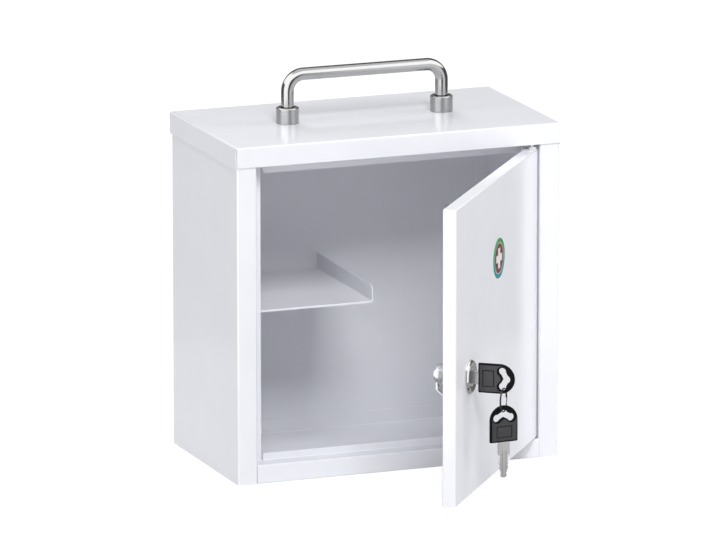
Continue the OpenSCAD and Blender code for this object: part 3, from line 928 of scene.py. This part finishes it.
@dataclass
class Door:
    """The folded door with its pivots, bumpers and badge.

    Attributes:
        badge_rim: The width of the badge's raised rim.
        badge_sunk: How far the badge's field lies under its rim.
        cross_rise: How far its cross stands over its field.
        rim_edge: The bevel round its outside.
        rim_slope: The slope from its rim down to its field.
    """

    places: Places
    cut_edge: float = CUT_EDGE
    badge_rim: float = 2.8 * MM
    badge_sunk: float = 0.25 * MM
    cross_rise: float = 0.2 * MM
    rim_edge: float = 0.3 * MM
    rim_slope: float = 0.2 * MM
    rim_soft: float = 0.1 * MM
    cross_soft: float = 0.12 * MM

    def build(self) -> None:
        """Makes the door's pieces."""
        for name, body, look, node, *rounding in (
            ("door_pan", Body.DOOR, Look.COAT, "door_panel", self.cut_edge, 3, 3 * MM),
            ("pivot_pins_headed", Body.DOOR, Look.ZINC, "pivot_pins", 0.2 * MM),
            ("pivot_washers_nylon", Body.CABINET, Look.NYLON, "pivot_washers", 0.2 * MM),
            ("door_bumpers_domed", Body.DOOR, Look.RUBBER, "door_bumpers", 0.9 * MM, 4),
        ):
            Piece(name, body, look).soften(node, *rounding)
        self._badge()

    def _badge(self) -> None:
        """Makes the badge: a raised rim, a sunk field and a raised cross."""
        low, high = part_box("badge")
        radius = (high.z - low.z) / 2
        size = high - low
        thick = self._thickness(size, radius)
        field = thick - self.badge_sunk
        inside = radius - self.badge_rim
        badge = lathe([
            (0, 0), (radius, 0), (radius, thick - self.rim_edge), (radius - self.rim_edge, thick),
            (inside, thick), (inside - self.rim_slope, field), (0, field),
        ])
        round_edges(badge, self.rim_soft, 2, 30)
        badge.loops.layers.uv.new("flat")
        cross = bmesh.new()
        enamel = Look.ENAMEL.finish
        arm, reach = enamel.arm_half * radius, enamel.arm_reach * radius
        outline = Pen(cross, (arm, arm)).line(
            (reach, arm), (reach, -arm), (arm, -arm), (arm, -reach), (-arm, -reach), (-arm, -arm),
            (-reach, -arm), (-reach, arm), (-arm, arm), (-arm, reach), (arm, reach)).close()
        plate(cross, outline, 2 * self.cross_rise, self.cross_soft, 2)
        bmesh.ops.translate(cross, verts=cross.verts, vec=(0, 0, field))
        cross.loops.layers.uv.new("flat")
        whole = joined([badge, cross])
        flat = whole.loops.layers.uv.active
        for face in whole.faces:
            for loop in face.loops:
                loop[flat].uv = (loop.vert.co.x / radius, loop.vert.co.y / radius)
        place = self.places.facing("badge") @ Matrix.Translation((0, 0, -thick / 2))
        Piece("badge_enamelled", Body.DOOR, Look.ENAMEL).add(whole, "badge", place)

    def _thickness(self, size: Vector, radius: float) -> float:
        """Returns a disc's thickness from the box that it fills when turned with the door."""
        turn = math.radians(self.places.open_angle)
        return (size.x - 2 * radius * math.cos(turn)) / math.sin(turn)


@dataclass
class CamLock:
    """The lock in the door: its housing, nut, plug and cam.

    Attributes:
        bore: The radius of the housing's bore; barrel, face and dish are radii too.
        rise: How far the face stands before the door.
        foot: The radius of the dish's floor, and floor its height over the door.
        seat: The depth of the seat under the plug's head.
        thread: The pitch of the barrel's thread.
        thread_from: Where the thread starts along the barrel.
    """

    places: Places
    bore: float = 6.55 * MM
    barrel: float = 9 * MM
    length: float = 24 * MM
    face: float = 13.5 * MM
    rise: float = 2.4 * MM
    bevel: float = 1.4 * MM
    dish: float = 10.6 * MM
    foot: float = 7.6 * MM
    floor: float = 1.2 * MM
    seat: float = 1.2 * MM
    thread: float = 1 * MM
    thread_deep: float = 0.45 * MM
    thread_from: float = 6 * MM
    soft: float = 0.3 * MM
    facets: int = 96

    def build(self) -> None:
        """Makes the lock's pieces."""
        self._housing()
        for name, body, look, node, *rounding in (
            ("lock_nut_plated", Body.DOOR, Look.ZINC, "lock_nut", 0.4 * MM, 3),
            ("lock_plug_turned", Body.LOCK_CORE, Look.CHROME, "lock_plug", 0.15 * MM),
            ("lock_cam_pressed", Body.LOCK_CORE, Look.ZINC, "lock_cam", 0.25 * MM),
            ("cam_screw_plated", Body.LOCK_CORE, Look.ZINC, "cam_screw", 0.2 * MM),
        ):
            Piece(name, body, look).soften(node, *rounding)

    def _housing(self) -> None:
        """Makes the housing: a dished face and a threaded barrel."""
        start, end = self.thread_from, self.length - self.thread
        turns = int((end - start) / self.thread)
        grooves = [
            point for index in range(turns) for point in (
                (self.barrel, start + index * self.thread),
                (self.barrel - self.thread_deep, start + (index + 0.5) * self.thread))
        ]
        profile = [
            (self.bore, self.length), (self.barrel - self.bevel / 2, self.length),
            (self.barrel, self.length - self.bevel / 2), (self.barrel, end),
            *reversed(grooves), (self.barrel, 0), (self.face, 0),
            (self.face, self.bevel - self.rise), (self.face - self.bevel, -self.rise),
            (self.dish, -self.rise), (self.foot, -self.floor), (self.foot, self.seat),
            (self.bore, self.seat),
        ]
        housing = lathe(profile, self.facets, ring=True)
        bevel(housing, [
            e for e in housing.edges
            if e.calc_face_angle(0) > 0.4 and (e.verts[0].co + e.verts[1].co).z < 0
        ], self.soft, 3)
        place = self.places.lock @ turned(-90, "X")
        Piece("lock_housing_turned", Body.DOOR, Look.CHROME).add(housing, "lock_housing", place)


@dataclass
class Key:
    """A flat key with a moulded bow.

    The bow's own frame runs along X from its straight end and across Y.

    Attributes:
        prefix: What its nodes' names start with.
        place: Where the bow's frame lies.
        core: The thickness round the finger hole; grip is that of the grip.
        grip_end: Where the grip ends, before the ring's path.
        lobe: The radius of the finger hole's side lobes.
        lobe_at: Their place along and across the bow.
        tip_lobe: The radius of the lobe nearest the round end, which lies at tip_at.
        ease: How much the grip stays back from the hole.
        tang: The length and half width of the metal inside the bow, as for shoulder and blade.
        bulge: The bulge's two ends from the shoulder, and its half width.
        tip: The tip's chamfer and half width.
        cuts: Each bitting cut's place from the shoulder, and how far its cutter stood off.
        groove: The grooves' two edges across the blade.
        panel: The grip's flat panel: its two ends along the bow and its half width.
        rims: The rounding of the blade's, the body's, the grip's and the panel's rims.
        link_share: Half the width of the hole's links, as a share of a side lobe's radius.
        arcs: How many faces the round end, a side lobe, the tip lobe, the grip's curve, a
            cut and a corner have.
    """

    prefix: str
    body: Body
    place: Matrix
    length: float = 28.9 * MM
    width: float = 23.3 * MM
    core: float = 2.4 * MM
    grip: float = 3.8 * MM
    step_in: float = 1.3 * MM
    grip_end: float = 19.05 * MM
    corner: float = 0.8 * MM
    lobe: float = 2.9 * MM
    lobe_at: tuple = (19.2 * MM, 6 * MM)
    tip_lobe: float = 3 * MM
    tip_at: float = 22.4 * MM
    ease: float = 1.2 * MM
    thick: float = 2 * MM
    tang: tuple = (8 * MM, 4 * MM)
    shoulder: tuple = (10.2 * MM, 5.1 * MM)
    blade: tuple = (17.8 * MM, 3.1 * MM)
    bulge: tuple = (6.5 * MM, 10.5 * MM, 3.7 * MM)
    bulge_ramps: tuple = (1.5 * MM, 2 * MM)
    tip: tuple = (1.2 * MM, 2.5 * MM)
    cuts: tuple = ((14.6 * MM, 0.5 * MM), (8.4 * MM, 0.5 * MM), (3.2 * MM, 0.9 * MM))
    cutter: float = 1 * MM
    groove: tuple = (1.05 * MM, 1.95 * MM)
    groove_deep: float = 0.4 * MM
    groove_run: float = 3 * MM
    panel: tuple = (3.6 * MM, 12.8 * MM, 6.5 * MM)
    panel_sunk: float = 0.15 * MM
    moat: float = 0.5 * MM
    rims: tuple = (0.15 * MM, 0.6 * MM, 0.25 * MM, 0.2 * MM)
    groove_slope: float = 0.06 * MM
    link_share: float = 0.8
    arcs: tuple = (48, 28, 14, 12, 8, 5)

    def build(self) -> None:
        """Makes the key's blade and bow."""
        for name, look, bm, node in (
            ("_metal", Look.NICKEL, self._metal(), "_blade"),
            # The rim's darker, barely shiny plastic is painted shade that stands in for a gloss
            # rim's dark reflection.
            ("_bow_rim", Look.RIM_PAINTED_DARK, self._core(), "_bow"),
            ("_bow_grip", Look.MATT, self._grip(), "_bow"),
        ):
            Piece(self.prefix + name, self.body, look).add(bm, self.prefix + node, self.place)

    def _metal(self) -> Mesh:
        """Makes the shoulder and the blade, with their bitting cuts and grooves.

        Returns:
            The mesh, in the bow's frame.
        """
        bm = bmesh.new()
        root, end = -self.shoulder[0], -self.shoulder[0] - self.blade[0]
        chamfer, tip = self.tip
        up, down = self.bulge_ramps
        near, far, wide = self.bulge
        narrow, across = self.blade[1], self.shoulder[1]
        runs = (
            (tip, (root - far - down, tip), (root - far, wide)),
            (wide, (root - near, wide), (root - near + up, narrow)),
            (narrow, (root, narrow), (root, across)),
        )
        pen = Pen(bm, (end, 0)).line((end, tip - chamfer), (end + chamfer, tip))
        for cut, (edge, *onward) in zip(self.cuts, runs):
            self._cut(pen, root, edge, cut)
            pen.line(*onward)
        pen.line((0, across), (0, self.tang[1]), self.tang, (self.tang[0], 0))
        bmesh.ops.mirror(bm, geom=bm.verts[:] + bm.edges[:], merge_dist=NEAR, axis="Y")
        plate(bm, bm.edges[:], self.thick, self.rims[0], 2)
        self._grooves(bm, root + self.groove_run)
        return bm

    def _cut(self, pen: Pen, root: float, edge: float, cut: tuple[float, float]) -> None:
        """Draws one bitting cut in the blade's edge.

        Args:
            pen: The pen that draws the blade.
            root: Where the blade starts.
            edge: The edge's distance from the middle line.
            cut: The cut's place from the shoulder, and how far its cutter stood off.
        """
        middle = root - cut[0]
        reach = math.sqrt(self.cutter ** 2 - cut[1] ** 2)
        sweep = 2 * math.degrees(math.asin(reach / self.cutter))
        pen.line((middle - reach, edge)).arc((middle, edge + cut[1]), sweep, self.arcs[4])

    def _grooves(self, bm: Mesh, stop: float) -> None:
        """Sinks the two grooves on both faces of the blade.

        Args:
            bm: The blade.
            stop: Where the grooves end, in the shoulder.
        """
        low, high = self.groove
        planes = [((0, side * across, 0), (0, 1, 0)) for side in (-1, 1) for across in (low, high)]
        for point, normal in [*planes, ((stop, 0, 0), (1, 0, 0))]:
            whole = bm.verts[:] + bm.edges[:] + bm.faces[:]
            bmesh.ops.bisect_plane(bm, geom=whole, dist=TINY, plane_co=point, plane_no=normal)
        floors = []
        for face in bm.faces:
            middle = face.calc_center_median()
            if abs(face.normal.z) > 0.9 and middle.x < stop and low < abs(middle.y) < high:
                floors.append(face)
        bmesh.ops.inset_region(bm, faces=floors, thickness=self.groove_slope, use_boundary=True,
                               depth=-self.groove_deep, use_even_offset=True)

    def _link(self, ease: float) -> tuple[Vector, Vector, float]:
        """Returns a link's direction to the tip lobe, its left side and half its width."""
        run = Vector((self.tip_at - self.lobe_at[0], self.lobe_at[1])).normalized()
        return run, Vector((-run.y, run.x)), self.link_share * self.lobe + ease

    def _tongue(self, ease: float) -> float:
        """Works out where the tongue between the side lobes ends.

        Args:
            ease: How much the hole is widened.

        Returns:
            The end's place along the bow.
        """
        run, side, half = self._link(ease)
        back = half * side.y / run.y
        return self.tip_at + half * side.x - back * run.x

    def _core(self) -> Mesh:
        """Makes the bow's thin body with its three-lobed finger hole.

        Returns:
            The mesh.
        """
        bm = bmesh.new()
        half = self.width / 2
        round_at = self.length - half
        edges = (
            Pen(bm, (self.corner, -half)).line((round_at, -half))
            .arc((round_at, 0), 180, self.arcs[0]).line((self.corner, half))
            .arc((self.corner, half - self.corner), 90, self.arcs[5])
            .line((0, self.corner - half))
            .arc((self.corner, self.corner - half), 90, self.arcs[5]).close()
        )
        edges += self._hole(bm)
        plate(bm, edges, self.core, self.rims[1], 4)
        return bm

    def _hole(self, bm: Mesh) -> list[Edge]:
        """Draws the finger hole: two side lobes linked to the tip lobe.

        Args:
            bm: The mesh to draw in.

        Returns:
            The outline's edges.
        """
        run, side, half = self._link(0)
        lobe = Vector((self.lobe_at[0], -self.lobe_at[1]))
        tip = Vector((self.tip_at, 0))
        into_lobe = math.sqrt(self.lobe ** 2 - half ** 2)
        into_tip = math.sqrt(self.tip_lobe ** 2 - half ** 2)
        near = lobe + into_lobe * run + half * side
        far = lobe + into_lobe * run - half * side
        far_tip = tip - into_tip * run - half * side
        sweep = 360 - 2 * math.degrees(math.asin(half / self.lobe))
        tip_sweep = 2 * math.degrees(math.asin(-far_tip.y / self.tip_lobe))
        return (
            Pen(bm, (self._tongue(0), 0)).line(tuple(near)).arc(tuple(lobe), sweep, self.arcs[1])
            .line(tuple(far_tip)).arc(tuple(tip), tip_sweep, self.arcs[2])
            .line((far.x, -far.y)).arc((lobe.x, -lobe.y), sweep, self.arcs[1]).close()
        )

    def _grip(self) -> Mesh:
        """Makes the raised grip, which stops short of the hole and of the ring's path.

        Returns:
            The mesh.
        """
        bm = bmesh.new()
        half = self.width / 2 - self.step_in
        run, side, link = self._link(self.ease)
        radius = self.lobe + self.ease
        lobe = Vector((self.lobe_at[0], -self.lobe_at[1]))
        near = lobe + math.sqrt(radius ** 2 - link ** 2) * run + link * side
        back = math.sqrt(radius ** 2 - (lobe.x - self.grip_end) ** 2)
        start = Vector((self.grip_end, lobe.y - back))
        sweep = -math.degrees((start - lobe).angle(near - lobe))
        edges = (
            Pen(bm, (self.step_in, -half)).line((self.grip_end, -half), tuple(start))
            .arc(tuple(lobe), sweep, self.arcs[3])
            .line((self._tongue(self.ease), 0), (near.x, -near.y))
            .arc((lobe.x, -lobe.y), sweep, self.arcs[3])
            .line((self.grip_end, half), (self.step_in, half)).close()
        )
        edges += self._window(bm, 0)
        plate(bm, edges, self.grip, self.rims[2], 3)
        panel = bmesh.new()
        sunk = self.grip - 2 * self.panel_sunk
        plate(panel, self._window(panel, self.moat), sunk, self.rims[3], 2)
        return joined([bm, panel])

    def _window(self, bm: Mesh, inset: float) -> list[Edge]:
        """Draws the outline of the grip's panel, set in by a distance."""
        first, last, wide = self.panel[0] + inset, self.panel[1] - inset, self.panel[2] - inset
        return Pen(bm, (first, -wide)).line((last, -wide), (last, wide), (first, wide)).close()


@dataclass
class SplitRing:
    """The coiled wire ring that the spare key hangs on.

    Attributes:
        place: Where the ring's frame lies, with Z along its axis.
        radius: The ring's radius, to the middle of the wire.
    """

    place: Matrix
    radius: float = 9.2 * MM
    wire: float = 0.35 * MM
    turns: float = 1.9
    steps: int = 72
    facets: int = 12

    def build(self) -> None:
        """Makes the ring: a wire's section swept round with a steady rise."""
        bm = bmesh.new()
        upright = Matrix.Translation((self.radius, 0, 0)) @ turned(90, "X")
        bmesh.ops.create_circle(bm, segments=self.facets, radius=self.wire, matrix=upright)
        steps = round(self.steps * self.turns)
        rise = 2 * self.wire * self.turns
        bmesh.ops.translate(bm, verts=bm.verts, vec=(0, 0, -rise / 2))
        spin(bm, bm.verts[:] + bm.edges[:], math.tau * self.turns, steps, rise=(0, 0, rise / steps))
        bmesh.ops.holes_fill(bm, edges=[e for e in bm.edges if e.is_boundary], sides=0)
        bmesh.ops.recalc_face_normals(bm, faces=bm.faces)
        Piece("key_ring_coil", Body.KEY_RING, Look.WIRE).add(bm, "key_ring", self.place)


# ---- studio


@dataclass(frozen=True)
class Lamp:
    """One soft square lamp that faces the object."""

    name: str
    place: tuple
    size: float
    power: float
    aim: tuple = (0, 0, 0.14)

    def build(self) -> None:
        """Hangs the lamp. It shows in no reflection, which the tent gives."""
        data = bpy.data.lights.new(self.name, "AREA")
        data.shape = "SQUARE"
        data.size = self.size
        data.energy = self.power
        lamp = bpy.data.objects.new(self.name, data)
        lamp.location = self.place
        aim = Vector(self.aim) - Vector(self.place)
        lamp.rotation_euler = aim.to_track_quat("-Z", "Y").to_euler()
        lamp.visible_glossy = False
        bpy.context.scene.collection.objects.link(lamp)


@dataclass(frozen=True)
class Tent:
    """Panels of light and shade that stand round the object and show only in reflections.

    Attributes:
        hem: The radius of the opening in the tent's floor.
        lift: How far that floor lies over the studio's.
        viewer: The direction of the viewer in degrees round Z.
        full: The strength that a panel of 1 gives.
        panels: Each panel's edge in degrees from the viewer, to the right, and its brightness.
        ground: The brightness of the floor inside the tent.
        canopy_from: The heights at which the brightness overhead starts and is whole.
        behind: The degrees from the viewer at which the front gives way to the back.
        glimmer_at: The heights between which the faint band behind rises.
        glimmer_top: The height at which that band ends.
    """

    radius: float = 0.47
    height: float = 1.1
    hem: float = 0.02
    lift: float = 0.5 * MM
    facets: int = 96
    viewer: float = -111.06
    full: float = 2.4
    panels: tuple = (
        (-180, 0.06), (-72, 0.08), (-62, 1.0), (-10, 0.97), (6, 0.05), (30, 0.05), (40, 0.55),
        (68, 0.55), (78, 0.07), (128, 0.06), (180, 0.06),
    )
    ground: float = 0.16
    canopy: float = 1.0
    canopy_from: tuple = (0.41, 0.44)
    behind: tuple = (112, 124)
    glimmer: float = 0.16
    glimmer_at: tuple = (0.365, 0.385)
    glimmer_top: float = 0.5

    def build(self) -> None:
        """Stands the tent round the object."""
        bm = bmesh.new()
        bmesh.ops.create_circle(bm, segments=self.facets, radius=self.hem)
        bmesh.ops.translate(bm, verts=bm.verts, vec=(0, 0, self.lift))
        rim = bm.edges[:]
        for factor, lift in ((self.radius / self.hem, 0.0), (1.0, self.height)):
            made = bmesh.ops.extrude_edge_only(bm, edges=rim)["geom"]
            points = [part for part in made if isinstance(part, Vert)]
            rim = [part for part in made if isinstance(part, Edge)]
            rim = [edge for edge in rim if edge.verts[0] in points and edge.verts[1] in points]
            bmesh.ops.scale(bm, verts=points, vec=(factor, factor, 1.0))
            bmesh.ops.translate(bm, verts=points, vec=(0, 0, lift))
        tent = put("tent", bm, self._cloth())
        for ray in ("camera", "diffuse", "transmission", "volume_scatter", "shadow"):
            setattr(tent, "visible_" + ray, False)

    def _cloth(self) -> Material:
        """Makes the glowing panels.

        Returns:
            The material.
        """
        shader = Shader("tent_panels")
        x, y, z = shader.axes("Object")
        share = ((y.angle_from(x) - math.radians(self.viewer)) / math.tau + 1.5).fraction()
        stops = [((edge + 180) / 360, colour(*[level] * 3)) for edge, level in self.panels]
        level = shader.node("ShaderNodeValToRGB", {"stops": stops}, {"Fac": share})
        back = abs(share - 0.5).step(self.behind[0] / 360, self.behind[1] / 360)
        above = (1 - back) * z.step(*self.canopy_from)
        band = back * z.step(*self.glimmer_at) * z.less_than(self.glimmer_top)
        below = z.less_than(1 * MM)
        glow = level * (1 - above - below) + above * self.canopy + below * self.ground
        values = {"Color": glow + band * self.glimmer, "Strength": self.full}
        return shader.close(shader.node("ShaderNodeEmission", values=values))


@dataclass
class Studio:
    """The floor, the lamps, the world and the camera.

    Attributes:
        pitch: How far the camera looks down, in degrees.
        yaw: How far it is turned from the Y axis, in degrees.
        roll: How far it leans, in degrees.
        floor_reach: Half the floor's width.
        floor_glow: How much of the floor's look in view is its own white.
        floor_white: The strength of that white.
        ambient: The strength of the even light on the object.
        overhead: The strength of the light that gloss shows overhead.
    """

    camera_at: tuple = (-2.3823, -6.1820, 1.6613)
    pitch: float = 12.882
    yaw: float = 21.028
    roll: float = -0.04
    lens: float = 431.7
    sensor: float = 36.0
    floor_reach: float = 30.0
    paper: float = 0.9
    floor_glow: float = 0.85
    floor_white: float = 1.08
    ambient: float = 0.35
    overhead: float = 1.5
    lamps: tuple = (
        Lamp("front", (-0.5, -2.7, 2.9), 1.6, 105),
        Lamp("right", (3.0, -0.8, 1.6), 1.6, 33),
        Lamp("left", (-3.2, -0.2, 1.2), 1.4, 27),
        Lamp("back", (0.0, 2.2, 2.2), 1.6, 43),
    )

    def build(self) -> None:
        """Sets up everything round the object."""
        self._camera()
        self._floor()
        self._world()
        Tent().build()
        for lamp in self.lamps:
            lamp.build()

    def _camera(self) -> None:
        """Makes the camera."""
        data = bpy.data.cameras.new("camera")
        data.sensor_width = self.sensor
        data.lens = self.lens
        data.clip_end = 100.0
        camera = bpy.data.objects.new("camera", data)
        camera.location = self.camera_at
        way = turned(-self.yaw, "Z") @ turned(90 - self.pitch, "X") @ turned(self.roll, "Z")
        camera.rotation_euler = way.to_euler()
        bpy.context.scene.collection.objects.link(camera)
        bpy.context.scene.camera = camera

    def _floor(self) -> None:
        """Makes the pale floor, which keeps the object's soft shadow."""
        bm = bmesh.new()
        bmesh.ops.create_grid(bm, x_segments=1, y_segments=1, size=self.floor_reach)
        shader = Shader("floor_paper")
        seen = shader.ray("Camera").larger(shader.ray("Glossy"))
        paper = shader.node("ShaderNodeBsdfDiffuse", values={"Color": colour(*[self.paper] * 3)})
        glow = shader.node("ShaderNodeEmission", values={"Strength": self.floor_white})
        values = {0: seen * self.floor_glow, 1: paper, 2: glow}
        put("floor", bm, shader.close(shader.node("ShaderNodeMixShader", values=values)))

    def _world(self) -> None:
        """Makes the white backdrop, the light overhead and the even light from all round."""
        world = bpy.data.worlds.new("studio")
        bpy.context.scene.world = world
        shader = Shader("studio", world)
        gloss, view, clear = shader.ray("Glossy"), shader.ray("Camera"), shader.ray("Transmission")
        lit = 1 - gloss.larger(view).larger(clear)
        strength = gloss * self.overhead + view.larger(clear) + lit * self.ambient
        shader.close(shader.node("ShaderNodeBackground", values={"Strength": strength}))


def main() -> None:
    """Builds the studio and then the object, one sub-assembly after another."""
    logging.basicConfig(level=logging.INFO, format="%(name)s: %(message)s")
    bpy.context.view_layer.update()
    bpy.context.scene.view_settings.view_transform = "Standard"
    Studio().build()
    places = Places()
    for assembly in (
        Casing(),
        CarryHandle(),
        Door(places),
        CamLock(places),
        Key("key", Body.KEY, places.key_in_lock()),
        Key("spare_key", Body.SPARE_KEY, places.spare_key()),
        SplitRing(places.facing("key_ring")),
    ):
        assembly.build()


if __name__ == "__main__":
    main()
